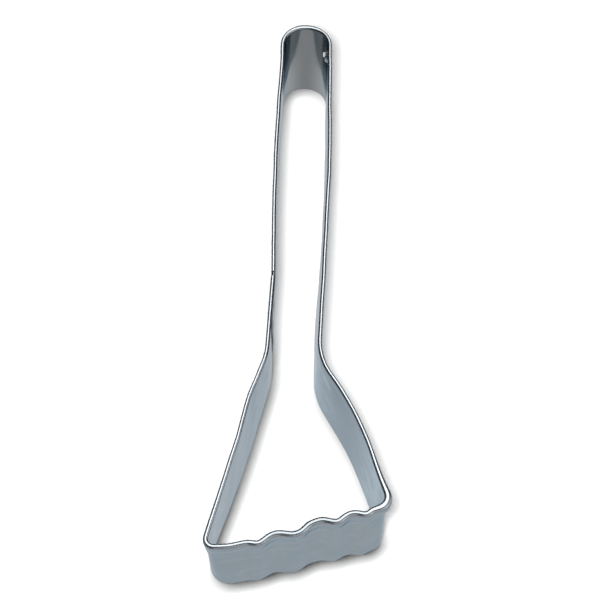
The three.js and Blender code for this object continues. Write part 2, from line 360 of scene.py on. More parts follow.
# what hands and bending tools did to the sheet, and where light and shade are painted on it; places are
# outline points
handWork = {
    "quietLap": (8.4, 12.0),  # dents and waves start this far from the ends and grow over this length
    "dents": [
        # x, y, height, half width, half height, depth inwards
        (-0.3, 83.2, 18.0, 1.9, 9.0, 0.26),
        (-3.40, 81.70, 12.0, 1.5, 7.0, -0.14),
        (3.40, 81.70, 12.0, 1.5, 7.0, -0.14),
        (1.75, -35.30, 22.0, 16.0, 2.2, 0.20),
        (17.50, -26.50, 21.5, 4.0, 1.5, 0.12),
    ],
    "presses": [
        # x, y, height, half length, half height, edge, depth inwards
        (4.45, 80.50, 17.40, 0.85, 1.00, 0.50, 0.85),
        (4.85, 79.00, 16.90, 0.55, 0.65, 0.50, 0.65),
    ],
    "slit": (0.4, 0.12),  # how dull the slit edges are, and how far in
    "freeEndTone": 0.30,  # how dull the tab's sheared end is
    "freeEndShadeMarks": [
        # height, half height, how much darker; the upper one is painted shade where the end stands off
        (7.4, 1.6, 0.65),
        (2.4, 0.6, 0.60),
    ],
    "creases": [
        # from x, y, height, to x, y, height, half width, depth inwards
        (5.23, -0.45, 18.05, 6.20, -2.58, 17.66, 0.6, 0.03),
        (6.20, -2.58, 17.66, 7.19, -4.25, 16.36, 0.6, 0.03),
    ],
    "rimNudges": [
        # x, y, half width, height, half height, outwards
        (-3.9, 81.6, 3.2, 22.0, 12.0, 0.17),
        (4.95, 78.5, 4.0, 22.0, 12.0, -0.08),
    ],
    "hemBulges": [
        # x, y, half width, how far the hem stands off under the rim, and at its foot
        (18.6, -30.9, 2.2, 0.50, -0.10),
        (-2.5, 83.2, 4.5, 0.30, 0.12),
        (1.75, -35.30, 13.0, 0.25, 0.0),
    ],
    "tightBend": (0.0, 83.2, 9.0, 2.8),  # x, y, half widths of a painted paler grey reflection and of painted shade
    "weakerCrownHighlights": [
        # x, y, half width, how much weaker the painted highlight on the crown is there
        (1.75, -35.30, 12.0, 0.75),
        (0.0, 83.20, 4.5, 0.45),
    ],
    "paintedShadePatches": [
        # x, y, height, half width, half height, how much painted shade
        (-3.2, 82.4, 17.0, 1.2, 5.0, 0.40),
        (3.3, 82.2, 17.5, 1.2, 4.5, 0.40),
        (7.8, -5.3, 18.5, 4.5, 4.0, 0.30),
    ],
    "hemFootHighlight": (0.15, 0.25),  # how pale the painted highlight on the hem's lower edge is, and how far up
    "paintedReflectionTones": [
        # x, y, half width, paler or darker: painted reflection on the inner face
        (16.5, -25.0, 6.0, 0.80),
        (9.5, -8.0, 5.0, -0.08),
        (4.75, 10.0, 9.0, 0.85),
        (-12.5, -28.0, 8.0, 0.10),
        (-9.0, -12.0, 6.0, 0.14),
    ],
    "waviness": [
        # wave length along, wave length up, depth, phase
        (31.0, 60.0, 0.040, 0.7),
        (13.0, 34.0, 0.022, 2.1),
        (7.3, 25.0, 0.010, 4.4),
    ],
}

welds = {
    # piece, the node that it replaces, where its wandering starts
    "marks": [
        ("weld_mark_lower", "spot_weld_lower", 0.4),
        ("weld_mark_upper", "spot_weld_upper", 2.3),
    ],
    "heights": (6.0, 15.0),
    "radius": 1.25,
    "dimpleRadius": 1.5,
    "dimpleFloor": 0.8,  # the dimple is flat within this radius
    "dimpleDepth": 0.07,
    "faceDepth": 0.045,
    "ringHeight": 0.03,
    # shares of the radius: the face's rows, the dish's wall, the ring's place and width, the rounded rim
    "faceRows": (0.0, 0.25, 0.45, 0.62, 0.72, 0.80, 0.88, 0.95, 1.0),
    "dishWall": (0.45, 0.3),
    "ring": (0.82, 0.09),
    "roundedRim": (0.86, 0.14),
    "turnSteps": 48,
    # wandering of the radius: lobes, share, factor of its start
    "wander": [(2, 0.025, 1), (5, 0.015, 2)],
    "seamStations": 4,  # the lapped wall's direction is taken over these
}


# bell along the strip from an outline point, as a column over the stations
def nearSpot(places, rim, x, y, halfWidth):
    return bell(places - places[placeNear(rim, x, y)], halfWidth)[:, None]


# shift of the sheet along its outward normal, for every station and row: waves are sines along and up;
# a dent or nudge is a bell along times a bell up; a crease is a bell of the distance from a line
def sheetShift(places, rim, heights, innerShare):
    shift = np.zeros((len(places), len(heights)))
    for along, up, depth, phase in handWork["waviness"]:
        shift += depth * np.sin(2 * np.pi * (places[:, None] / along + heights / up) + phase)
    for x, y, halfWidth, z, halfHeight, outwards in handWork["rimNudges"]:
        shift += outwards * nearSpot(places, rim, x, y, halfWidth) * bell(heights - z, halfHeight)
    for x, y, z, halfWidth, halfHeight, depth in handWork["dents"]:
        dent = nearSpot(places, rim, x, y, halfWidth) * bell(heights - z, halfHeight)
        shift -= depth * dent * innerShare
    for *ends, halfWidth, depth in handWork["creases"]:
        shift -= depth * bell(lineDistance(places, rim, heights, *ends), halfWidth) * innerShare
    return shift


# pressed marks: how far they stand in; flat inside a box, with a smooth step halfway down at its border
def pressedIn(places, rim, heights):
    return sum(
        depth * (1 - smooth(markDistance(places, rim, heights, *mark) / edge + 0.5))
        for *mark, edge, depth in handWork["presses"]
    )


# distance of every station and row from the border of a pressed box, less than zero inside it
def markDistance(places, rim, heights, x, y, z, halfLength, halfHeight):
    along = np.abs(places - places[placeNear(rim, x, y)])[:, None] - halfLength
    up = np.abs(heights - z) - halfHeight
    return np.hypot(np.maximum(along, 0), np.maximum(up, 0)) + np.minimum(np.maximum(along, up), 0)


# distance of every station and row from a straight line drawn on the sheet
def lineDistance(places, rim, heights, x0, y0, z0, x1, y1, z1):
    start, finish = places[placeNear(rim, x0, y0)], places[placeNear(rim, x1, y1)]
    run, rise = finish - start, z1 - z0
    along, up = places[:, None] - start, heights - z0
    share = np.clip((along * run + up * rise) / (run * run + rise * rise), 0.0, 1.0)
    return np.hypot(along - share * run, up - share * rise)


# lean of the lapped walls: nothing at the rim, all of it at the cutting edge
def lapLean(heights):
    return band["lapLean"] * (1 - heights / band["height"])


# distance of every station and row of the sheet from the nearest weld's axis
def weldDistance(places, heights):
    middle = band["lapLength"] / 2
    fromEnd = np.minimum(np.abs(places - middle), np.abs(places[-1] - middle - places))
    up = np.min(np.abs(heights[:, None] - np.array(welds["heights"])), axis=1)
    return np.hypot(fromEnd[:, None], up)


# where the strip starts to step in behind its hemmed end
def stepPlace(places):
    return places[-1] - band["lapLength"] - band["hemSeamGap"]


# the sheet's middle off the wall's own line, for every station and row: the profile, the tab's step,
# handling, the weld dimples, the joggle and lean of the lap, the tab's free end and the hem's slack
def sheetOffset(places, rim, profile):
    heights, total = profile["heights"], places[-1]
    fromEnds = np.minimum(places, total - places)
    lapOffset = band["sheet"] + band["lapGap"] - band["joggle"]
    step = -lapOffset * smooth((places - stepPlace(places)) / band["stepLength"])
    quietLength, growth = handWork["quietLap"]
    shift = sheetShift(places, rim, heights, profile["innerShare"])
    shift *= smooth((fromEnds - quietLength) / growth)[:, None]
    slope = welds["dimpleRadius"] - welds["dimpleFloor"]
    dimple = 1 - smooth((weldDistance(places, heights) - welds["dimpleFloor"]) / slope)
    inLap = np.where(places < total / 2, -1.0, 1.0)
    shift += inLap[:, None] * welds["dimpleDepth"] * dimple
    pastLap = np.stack([places, fromEnds]) - band["lapLength"]
    outerEnd, bothEnds = 1 - smooth(pastLap / band["joggleFade"])
    shift += band["joggle"] * outerEnd[:, None] * profile["wallShare"]
    shift += lapLean(heights) * bothEnds[:, None]
    lift, liftLength, liftHeight = band["tabLift"]
    freeEnd = smooth((places - total + liftLength) / liftLength)
    shift -= lift * freeEnd[:, None] * bell(heights - welds["heights"][0], liftHeight)
    for *spot, underRim, atFoot in handWork["hemBulges"]:
        slack = underRim * profile["hemTop"] + atFoot * profile["hemFoot"]
        shift += nearSpot(places, rim, *spot) * slack
    return profile["outwards"] + step[:, None] + shift


# the sheet's two faces: the profile carried along the strip; a point lies between the cutting edge's path
# and the rim's path by its height, and off them along the normal; only the inner face is pressed in
def sheetPoints(places, rim, edge, profile):
    heights = profile["heights"]
    share = (heights / band["height"])[None, :, None]
    middle = edge[:, None] + (rim - edge)[:, None] * share
    sides = [unit(outwardOf(np.gradient(level, places, axis=0))) for level in (rim, edge)]
    normal = unit(sides[1][:, None] + (sides[0] - sides[1])[:, None] * share)
    offset = sheetOffset(places, rim, profile)
    pressed = pressedIn(places, rim, heights) * profile["innerShare"]
    points = []
    for side, marks in ((1.0, pressed), (-1.0, 0.0)):
        across = offset + side * profile["thick"] * profile["facing"][:, 0] - marks
        level = heights + side * profile["thick"] * profile["facing"][:, 1]
        flat = middle + normal * across[..., None] + np.array(band["origin"])
        points.append(np.concatenate([flat, np.broadcast_to(level[:, None], flat[..., :1].shape)], -1))
    return np.stack(points).reshape(-1, 3)


# quads round the closed section between two stations
def ringFaces(index, first, last, rows):
    ring = np.concatenate([index[0, first:last + 1, :rows], index[1, first:last + 1, rows - 1::-1]], 1)
    following = np.roll(ring, -1, axis=1)
    return np.stack([ring[:-1], following[:-1], following[1:], ring[1:]], -1).reshape(-1, 4)


# quads across the sheet's thickness at one station, facing along the strip
def capFaces(index, station, first, last):
    inner, outer = index[0, station, first:last], index[1, station, first:last]
    return np.stack([inner[:-1], inner[1:], outer[1:], outer[:-1]], -1)


# the hemmed strip, then the plain tab, with the sheared ends closed
def sheetFaces(stations, rows, hemEnd, tabRow):
    index = np.arange(2 * stations * rows).reshape(2, stations, rows)
    return np.concatenate([
        ringFaces(index, 0, hemEnd, rows),
        ringFaces(index, hemEnd, stations - 1, tabRow + 1),
        capFaces(index, 0, 0, rows)[:, ::-1],
        capFaces(index, hemEnd, tabRow, rows),
        capFaces(index, stations - 1, 0, tabRow + 1),
    ])


# how dull the cut edges are: bells from the slit edges and the tab's top, full at the hem's two ends,
# painted shade inside the hem's fold, and darker marks on the tab's free end, the upper one painted shade
def cutEdgeAndFoldShade(stations, profile, hemEnd):
    length, tabRow = profile["length"], profile["tabRow"]
    dullness, width = handWork["slit"]
    fromSlit = np.minimum(length, length[-1] - length)
    cutAndFoldShade = np.tile(dullness * bell(fromSlit, width), (2, stations, 1))
    cutAndFoldShade[0] *= profile["innerShare"]
    cutAndFoldShade[:, hemEnd:] += bell(length - length[tabRow], width)
    cutAndFoldShade[:, 0] = 1.0
    # the tab's free end, with darker marks, the upper one painted shade
    cutAndFoldShade[:, -1] = handWork["freeEndTone"] + sum(
        amount * bell(profile["heights"] - z, halfHeight)
        for z, halfHeight, amount in handWork["freeEndShadeMarks"]
    )
    cutAndFoldShade[:, hemEnd, tabRow:] = 1.0
    # painted shade: the faces inside the hem's fold get the cut edges' dark tint
    cutAndFoldShade[1] = np.maximum(cutAndFoldShade[1], profile["inFold"])
    return cutAndFoldShade


# looks over both faces, every station and row, which the material reads by name; several paint light and
# shade
def sheetLooks(places, rim, profile, hemEnd):
    heights, length = profile["heights"], profile["length"]
    innerFace = np.stack([profile["innerShare"], 0 * profile["innerShare"]])[:, None]
    # painted reflection, greyer and paler, round the round end, and painted shade at its middle
    *bend, reflectionWidth, shadeWidth = handWork["tightBend"]
    # painted highlight on the fold's crown, weaker at the listed places
    lessHighlight = sum(share * nearSpot(places, rim, *spot) for *spot, share in handWork["weakerCrownHighlights"])
    # painted reflection: paler or darker places on the inner face
    paintedReflection = sum(amount * nearSpot(places, rim, *spot) for *spot, amount in handWork["paintedReflectionTones"])
    # painted glint: the pressed marks' inner face is tinted near white
    paintedGlint = sum(
        1 - smooth(markDistance(places, rim, heights, *mark) / edge)
        for *mark, edge, depth in handWork["presses"]
    )
    # painted highlight: a paler line along each crease
    creased = sum(
        bell(lineDistance(places, rim, heights, *ends), halfWidth)
        for *ends, halfWidth, depth in handWork["creases"]
    )
    # painted shade patches on the inner face
    patches = sum(
        amount * nearSpot(places, rim, x, y, halfWidth) * bell(heights - z, halfHeight)
        for x, y, z, halfWidth, halfHeight, amount in handWork["paintedShadePatches"]
    )
    # painted highlight: a paler line along the hem's lower edge
    shine, shineWidth = handWork["hemFootHighlight"]
    footHighlight = shine * bell(length[-1] - length, shineWidth)
    looks = {
        "fold": profile["fold"],
        "cutAndFoldShade": cutEdgeAndFoldShade(len(places), profile, hemEnd),
        "crown": profile["crown"] * (1 - lessHighlight),
        "fromWeld": weldDistance(places, heights),
        "paintedEndReflection": nearSpot(places, rim, *bend, reflectionWidth),
        "paintedShade": nearSpot(places, rim, *bend, shadeWidth) + innerFace * patches,
        "paintedReflection": paintedReflection * innerFace,
        "paintedHighlight": creased * innerFace + np.stack([footHighlight, 0 * footHighlight])[:, None],
        "paintedGlint": paintedGlint * innerFace,
    }
    whole = (2, len(places), len(heights))
    return {name: np.broadcast_to(values, whole).reshape(-1) for name, values in looks.items()}


# the band, without the points that the plain tab leaves unused
def bandShape():
    places, rim, edge = stripPaths()
    profile = sheetProfile()
    length, stations, rows = profile["length"], len(places), len(profile["heights"])
    hemEnd = int(np.searchsorted(places, stepPlace(places) - band["hemTrim"]))
    points = sheetPoints(places, rim, edge, profile)
    across = np.stack([length, length + band["faceSpacing"]])[:, None]
    uv = np.stack(np.broadcast_arrays(places[None, :, None], across), -1).reshape(-1, 2)
    used, faces = np.unique(sheetFaces(stations, rows, hemEnd, profile["tabRow"]), return_inverse=True)
    looks = sheetLooks(places, rim, profile, hemEnd)
    looks = {name: values[used] for name, values in looks.items()}
    return points[used], faces.reshape(-1, 4), uv[used], looks, rim


bandPoints, bandFaces, bandUv, bandLooks, rimPath = bandShape()
cutterBand = newPiece("tinplate_band", bandPoints, bandFaces, bandUv, bandLooks)
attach(cutterBand, "root")
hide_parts("cutter_band")
print("band:", len(bandPoints), "points,", len(bandFaces), "faces")


# a weld's face from its middle: a dish with a smooth wall, a ring that is a bell, and a rounded rim
def weldFace(share):
    halfLength = band["sheet"] + band["lapGap"] / 2
    wallStart, wallLength = welds["dishWall"]
    rimStart, rimLength = welds["roundedRim"]
    ringPlace, ringWidth = welds["ring"]
    dish = -welds["faceDepth"] * (1 - smooth((share - wallStart) / wallLength))
    ring = welds["ringHeight"] * bell(share - ringPlace, ringWidth)
    return halfLength + dish + ring - welds["dimpleDepth"] * smooth((share - rimStart) / rimLength)


# spot weld: a lens turned through both sheets; its radius wanders as a sum of sines round the turn
def weldShape(centre, axis, turnOffset):
    share = np.array(welds["faceRows"])
    face = weldFace(share)
    outness = np.concatenate([share, share[::-1]])[1:-1]
    along = np.concatenate([face, -face[::-1]])
    turn = np.linspace(0, 2 * np.pi, welds["turnSteps"], endpoint=False)
    wander = np.ones(len(turn))
    for lobes, amount, phases in welds["wander"]:
        wander += amount * np.sin(lobes * turn + phases * turnOffset)
    up = np.array([0.0, 0.0, 1.0])
    side = unit(np.cross(up, axis))
    spread = outness[:, None] * welds["radius"] * wander
    points = (
        centre + along[1:-1, None, None] * axis
        + (spread * np.cos(turn))[..., None] * side
        + (spread * np.sin(turn))[..., None] * up
    ).reshape(-1, 3)
    poles = centre + np.outer(along[[0, -1]], axis)
    rows, columns = len(outness), len(turn)
    index = np.arange(rows * columns).reshape(rows, columns)
    following = np.roll(index, -1, axis=1)
    quads = np.stack([index[:-1], index[1:], following[1:], following[:-1]], -1).reshape(-1, 4)
    top = np.stack([np.full(columns, rows * columns), index[0], following[0]], -1)
    bottom = np.stack([np.full(columns, rows * columns + 1), following[-1], index[-1]], -1)
    points = np.concatenate([points, poles])
    outness = np.concatenate([np.repeat(outness, columns), [0.0, 0.0]])
    return points, quads.tolist() + top.tolist() + bottom.tolist(), outness


def weldPiece(name, node, turnOffset):
    low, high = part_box(node)
    centre = np.array((low + high) / 2) / mm
    down = unit(rimPath[welds["seamStations"]] - rimPath[0])
    axis = np.append(outwardOf(down), 0.0)
    centre = centre + (band["joggle"] + lapLean(centre[2])) * axis
    points, faces, outness = weldShape(centre, axis, turnOffset)
    piece = newPiece(name, points, faces, layers={"outness": outness})
    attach(piece, "root")
    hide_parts(node)
    return piece


weldMarks = [weldPiece(*row) for row in welds["marks"]]
print("welds:", len(weldMarks))


# shader node tools

# a socket is linked, anything else is set as the socket's own value
def feed(tree, socket, value):
    if isinstance(value, bpy.types.NodeSocket):
        tree.links.new(value, socket)
    else:
        socket.default_value = value


def addNode(tree, kind, inputs=None, **settings):
    node = tree.nodes.new(kind)
    for key, value in settings.items():
        setattr(node, key, value)
    for key, value in (inputs or {}).items():
        feed(tree, node.inputs[key], value)
    return node


# a group that takes a place and one control, and gives values
def newGroup(name, control, value, outputs):
    tree = bpy.data.node_groups.new(name, "ShaderNodeTree")
    tree.interface.new_socket(name="Vector", in_out="INPUT", socket_type="NodeSocketVector")
    socket = tree.interface.new_socket(name=control, in_out="INPUT", socket_type="NodeSocketFloat")
    socket.default_value = value
    for output in outputs:
        tree.interface.new_socket(name=output, in_out="OUTPUT", socket_type="NodeSocketFloat")
    return tree, tree.nodes.new("NodeGroupInput").outputs, tree.nodes.new("NodeGroupOutput").inputs


def useGroup(tree, group, inputs):
    return addNode(tree, "ShaderNodeGroup", inputs, node_tree=group).outputs


def math(tree, operation, first, second, clamp=False):
    inputs = {0: first, 1: second}
    return addNode(tree, "ShaderNodeMath", inputs, operation=operation, use_clamp=clamp).outputs[0]


def plus(tree, first, second, clamp=False):
    return math(tree, "ADD", first, second, clamp)


def times(tree, first, second, clamp=False):
    return math(tree, "MULTIPLY", first, second, clamp)


def ranged(tree, value, low, high, toLow=0.0, toHigh=1.0):
    return addNode(tree, "ShaderNodeMapRange", {
        "Value": value, "From Min": low, "From Max": high, "To Min": toLow, "To Max": toHigh,
    }, interpolation_type="SMOOTHSTEP").outputs["Result"]


def mixed(tree, factor, first, second, blend="MIX"):
    node = addNode(tree, "ShaderNodeMix", data_type="RGBA", blend_type=blend)
    for key, value in (("Factor_Float", factor), ("A_Color", first), ("B_Color", second)):
        feed(tree, next(item for item in node.inputs if item.identifier == key), value)
    return next(item for item in node.outputs if item.identifier == "Result_Color")


def newMaterial(name):
    material = bpy.data.materials.new(name)
    material.use_nodes = True
    tree = material.node_tree
    tree.nodes.clear()
    output = tree.nodes.new("ShaderNodeOutputMaterial")
    return material, tree, output


def attributeOf(tree, name):
    return addNode(tree, "ShaderNodeAttribute", attribute_name=name).outputs["Fac"]


# effects that both metals share; stretches are noise cells for each metre

grainLook = {
    "fineness": 1.0,
    # output, stretch, detail
    "layers": [("Lines", (60, 5200, 5200), 4.0), ("Bands", (14, 700, 700), 2.0)],
    "roughness": 0.6,
}

handlingLook = {
    "smudgeScale": 220.0,
    "smudgeDetail": 5.0,
    "smudgeRoughness": 0.55,
    "smudgeDistortion": 0.6,
    "smudgeRange": (0.35, 0.7),
    # rotation, stretch
    "scratches": [((0.3, 0.5, 0.5), (160, 2600, 160)), ((0.3, -0.9, -0.9), (2100, 130, 130))],
    "scratchDetail": 1.0,
    "scratchRange": (0.70, 0.76),
}


# rolling grain: noise drawn out along the strip, coarse bands and fine lines
def rollingGrainGroup():
    tree, given, result = newGroup("rollingGrain", "Fineness", grainLook["fineness"], ["Lines", "Bands"])
    scaled = addNode(tree, "ShaderNodeVectorMath", {
        0: given["Vector"], "Scale": given["Fineness"],
    }, operation="SCALE")
    for output, stretch, detail in grainLook["layers"]:
        drawn = addNode(tree, "ShaderNodeMapping", {"Vector": scaled.outputs[0], "Scale": stretch})
        noise = addNode(tree, "ShaderNodeTexNoise", {
            "Vector": drawn.outputs[0], "Scale": 1.0, "Detail": detail, "Roughness": grainLook["roughness"],
        })
        tree.links.new(noise.outputs["Fac"], result[output])
    return tree


# handling: cloudy smudges and thin scratches in two directions
def handlingGroup():
    scale = handlingLook["smudgeScale"]
    tree, given, result = newGroup("handlingMarks", "Smudge Scale", scale, ["Smudge", "Scratch"])
    cloud = addNode(tree, "ShaderNodeTexNoise", {
        "Vector": given["Vector"], "Scale": given["Smudge Scale"],
        "Detail": handlingLook["smudgeDetail"], "Roughness": handlingLook["smudgeRoughness"],
        "Distortion": handlingLook["smudgeDistortion"],
    })
    tree.links.new(ranged(tree, cloud.outputs["Fac"], *handlingLook["smudgeRange"]), result["Smudge"])
    lines = []
    for rotation, stretch in handlingLook["scratches"]:
        drawn = addNode(tree, "ShaderNodeMapping", {
            "Vector": given["Vector"], "Rotation": rotation, "Scale": stretch,
        })
        noise = addNode(tree, "ShaderNodeTexNoise", {
            "Vector": drawn.outputs[0], "Scale": 1.0, "Detail": handlingLook["scratchDetail"],
        })
        lines.append(ranged(tree, noise.outputs["Fac"], *handlingLook["scratchRange"]))
    tree.links.new(math(tree, "MAXIMUM", *lines), result["Scratch"])
    return tree


rollingGrain = rollingGrainGroup()
handlingMarks = handlingGroup()


# tinplate: satin blue-grey metal; grain and smudges vary its tone and gloss, the cut edges are dull and a
# faint heat colour surrounds the welds; painted light and shade: a highlight on the rim's crown over shade
# on its fold, shade inside the hem, reflection tones and shade on the inner face and round end, highlights
# and a glint
tin = {
    "tint": (0.377, 0.424, 0.445, 1.0),
    "paleTint": (0.74, 0.82, 0.86, 1.0),
    "mottleTint": (0.42, 0.43, 0.45, 1.0),
    # painted highlight on the rim's crown
    "crownHighlightTint": (0.62, 0.66, 0.70, 1.0),
    # painted reflection, greyer and paler, and painted shade at the round end
    "endReflectionTint": (0.54, 0.55, 0.548, 1.0),
    "shadeTint": (0.262, 0.28, 0.288, 1.0),
    # painted glint on the pressed marks
    "glintTint": (0.93, 0.95, 0.97, 1.0),
    # painted shade over the rim's fold
    "foldShadeTint": (0.26, 0.30, 0.335, 1.0),
    # the cut edges' dull tint, also used as painted shade inside the hem's fold
    "cutAndShadeTint": (0.10, 0.105, 0.115, 1.0),
    "heatTint": (0.40, 0.36, 0.30, 1.0),
    "edgeTint": (0.66, 0.75, 0.83, 1.0),
    "bandShare": 0.13,
    "smudgeShare": 0.11,
    "mottleScale": 260.0,
    "mottleDetail": 3.0,
    "mottleRoughness": 0.55,
    "mottleRange": (0.38, 0.66),
    "mottleShare": 0.5,
    # share of the painted reflection at the round end
    "endReflectionShare": 0.9,
    "lineRange": (0.3, 0.7),
    "lineShare": 0.12,
    # share of the painted shade over the fold
    "foldShadeShare": 0.45,
    "crownHighlightRange": (0.75, 1.0),  # how strong the painted highlight on the crown is, from clean to smudged
    "heatReach": (1.2, 2.4),
    "heatShare": 0.25,
    # share of the cut edges' tint and of the painted shade inside the hem's fold
    "cutAndShadeShare": 0.8,
    "glossRange": (0.05, 0.19),
    "roughness": (0.15, 0.20),
    "scratchRoughness": 0.06,
    "foldRoughness": 0.10,
    "cutRoughness": 0.35,
    "scratchDepth": 0.2,
    "foldGrain": (0.5, 0.1),  # halfway into the fold the grain's depth has fallen to this share
    "bumpStrength": 0.35,
    "grainBump": 0.008,
}


def tinColour(tree, sheet, grain, marks, tone):
    # painted reflection: the inner face is made paler or darker in places
    tone = plus(tree, tone, attributeOf(tree, "paintedReflection"))
    # painted highlight along the creases and the hem's lower edge
    tone = plus(tree, tone, attributeOf(tree, "paintedHighlight"), clamp=True)
    colour = mixed(tree, tone, tin["tint"], tin["paleTint"])
    patches = addNode(tree, "ShaderNodeTexNoise", {
        "Vector": sheet, "Scale": tin["mottleScale"],
        "Detail": tin["mottleDetail"], "Roughness": tin["mottleRoughness"],
    })
    mottle = ranged(tree, patches.outputs["Fac"], *tin["mottleRange"], 0.0, tin["mottleShare"])
    colour = mixed(tree, mottle, colour, tin["mottleTint"])
    # painted reflection and painted shade at the round end, and painted shade patches
    paintedEndReflection = times(tree, attributeOf(tree, "paintedEndReflection"), tin["endReflectionShare"])
    colour = mixed(tree, paintedEndReflection, colour, tin["endReflectionTint"])
    colour = mixed(tree, attributeOf(tree, "paintedShade"), colour, tin["shadeTint"])
    # painted glint: near-white tint on the pressed marks
    paintedGlint = math(tree, "MINIMUM", attributeOf(tree, "paintedGlint"), 1.0)
    colour = mixed(tree, paintedGlint, colour, tin["glintTint"])
    lines = ranged(tree, grain["Lines"], *tin["lineRange"], 0.0, tin["lineShare"])
    colour = mixed(tree, lines, colour, tin["tint"], "MULTIPLY")
    # painted shade: the whole fold is tinted darker, under the painted highlight on its crown
    foldShade = times(tree, attributeOf(tree, "fold"), tin["foldShadeShare"])
    colour = mixed(tree, foldShade, colour, tin["foldShadeTint"])
    # painted highlight: the fold's crown is tinted paler, a little more where smudged
    crownLight = ranged(tree, marks["Smudge"], 0.0, 1.0, *tin["crownHighlightRange"])
    colour = mixed(tree, times(tree, attributeOf(tree, "crown"), crownLight), colour, tin["crownHighlightTint"])
    heat = ranged(tree, attributeOf(tree, "fromWeld"), *tin["heatReach"], tin["heatShare"], 0.0)
    colour = mixed(tree, heat, colour, tin["heatTint"])
    # the cut edges' dull tone, and painted shade inside the hem's fold
    cutAndFoldShade = times(tree, attributeOf(tree, "cutAndFoldShade"), tin["cutAndShadeShare"], clamp=True)
    return mixed(tree, cutAndFoldShade, colour, tin["cutAndShadeTint"])


def tinRoughness(tree, marks, tone):
    rough = ranged(tree, tone, *tin["glossRange"], *tin["roughness"])
    rough = plus(tree, rough, times(tree, marks["Scratch"], tin["scratchRoughness"]))
    rough = plus(tree, rough, times(tree, attributeOf(tree, "fold"), tin["foldRoughness"]))
    return plus(tree, rough, times(tree, attributeOf(tree, "cutAndFoldShade"), tin["cutRoughness"]))


def tinRelief(tree, grain, marks):
    height = math(tree, "SUBTRACT", grain["Lines"], times(tree, marks["Scratch"], tin["scratchDepth"]))
    intoFold, share = tin["foldGrain"]
    height = times(tree, height, ranged(tree, attributeOf(tree, "fold"), 0.0, intoFold, 1.0, share))
    return addNode(tree, "ShaderNodeBump", {
        "Height": height, "Strength": tin["bumpStrength"], "Distance": tin["grainBump"] * mm,
    }).outputs[0]


def tinplateMaterial():
    material, tree, output = newMaterial("satinTinplate")
    sheet = addNode(tree, "ShaderNodeUVMap", uv_map="sheet").outputs["UV"]
    place = addNode(tree, "ShaderNodeTexCoord").outputs["Object"]
    grain = useGroup(tree, rollingGrain, {"Vector": sheet})
    marks = useGroup(tree, handlingMarks, {"Vector": place})
    streaks = times(tree, grain["Bands"], tin["bandShare"])
    tone = plus(tree, streaks, times(tree, marks["Smudge"], tin["smudgeShare"]))
    metal = addNode(tree, "ShaderNodeBsdfPrincipled", {
        "Base Color": tinColour(tree, sheet, grain, marks, tone),
        "Metallic": 1.0,
        "Roughness": tinRoughness(tree, marks, tone),
        "Normal": tinRelief(tree, grain, marks),
        "Specular Tint": tin["edgeTint"],
    })
    tree.links.new(metal.outputs[0], output.inputs["Surface"])
    return material


# weld metal: pressed dull by the electrodes, with a brown ring
weldLook = {
    "middle": (0.30, 0.32, 0.34, 1.0),
    "ring": (0.23, 0.20, 0.175, 1.0),
    "ringRange": (0.45, 0.85),  # in shares of the radius
    "scale": (0.16, 0.165, 0.18, 1.0),
    "scaleShare": 0.6,
    "smudgeScale": 900.0,
    "grainFineness": 0.5,
    "roughness": (0.34, 0.55),
    "bumpStrength": 0.4,
    "grainBump": 0.03,
}


def weldMaterial():
    material, tree, output = newMaterial("pressedWeld")
    place = addNode(tree, "ShaderNodeTexCoord").outputs["Object"]
    marks = useGroup(tree, handlingMarks, {"Vector": place, "Smudge Scale": weldLook["smudgeScale"]})
    grain = useGroup(tree, rollingGrain, {"Vector": place, "Fineness": weldLook["grainFineness"]})
    outside = ranged(tree, attributeOf(tree, "outness"), *weldLook["ringRange"])
    colour = mixed(tree, outside, weldLook["middle"], weldLook["ring"])
    scaled = times(tree, marks["Smudge"], weldLook["scaleShare"])
    colour = mixed(tree, scaled, colour, weldLook["scale"])
    rough = ranged(tree, marks["Smudge"], 0.0, 1.0, *weldLook["roughness"])
    bump = addNode(tree, "ShaderNodeBump", {
        "Height": grain["Bands"], "Strength": weldLook["bumpStrength"],
        "Distance": weldLook["grainBump"] * mm,
    })
    metal = addNode(tree, "ShaderNodeBsdfPrincipled", {
        "Base Color": colour, "Metallic": 1.0, "Roughness": rough, "Normal": bump.outputs[0],
    })
    tree.links.new(metal.outputs[0], output.inputs["Surface"])
    return material


cutterBand.data.materials.append(tinplateMaterial())
pressedWeld = weldMaterial()
for weldMark in weldMarks:
    weldMark.data.materials.append(pressedWeld)
print("materials: satinTinplate, pressedWeld")


# studio: a pale floor, a key beside the camera, and panels that the metal shows; in the metal the floor
# is pale only round the object, and the room beyond it is dark; sizes in metres

